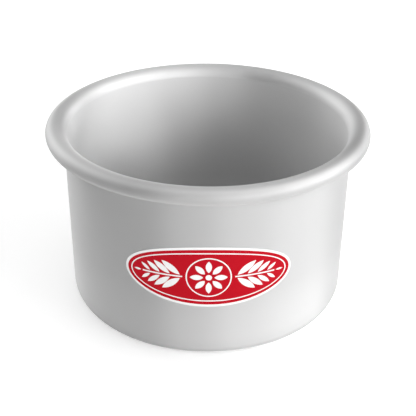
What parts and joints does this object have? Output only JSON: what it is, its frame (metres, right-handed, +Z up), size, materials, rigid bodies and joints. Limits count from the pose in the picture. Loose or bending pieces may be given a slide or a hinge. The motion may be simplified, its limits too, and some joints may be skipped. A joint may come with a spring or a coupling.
{
  "type": "round cake tin",
  "caption": "Small round straight-sided cake tin in satin aluminium, with a solid base, a rolled hollow rim and an oval adhesive label on its wall.",
  "frame": {"origin": "centre of the base's underside, on the tin's axis, where the tin stands", "axes": "+Z up along the tin's axis and out of its mouth; the label faces -Y; +X is to the right of someone who faces the label"},
  "size_m": [0.0878, 0.0878, 0.0518],
  "materials": {
    "satin_aluminium": "clear anodised, fine satin",
    "clear_adhesive": "pressure-sensitive acrylic adhesive",
    "white_film": "semi-gloss label film",
    "red_ink": "semi-gloss printed ink"
  },
  "bodies": {
    "root": {"pan_shell": "satin_aluminium", "label_adhesive": "clear_adhesive", "label_film": "white_film", "label_print": "red_ink"}
  },
  "joints": []
}
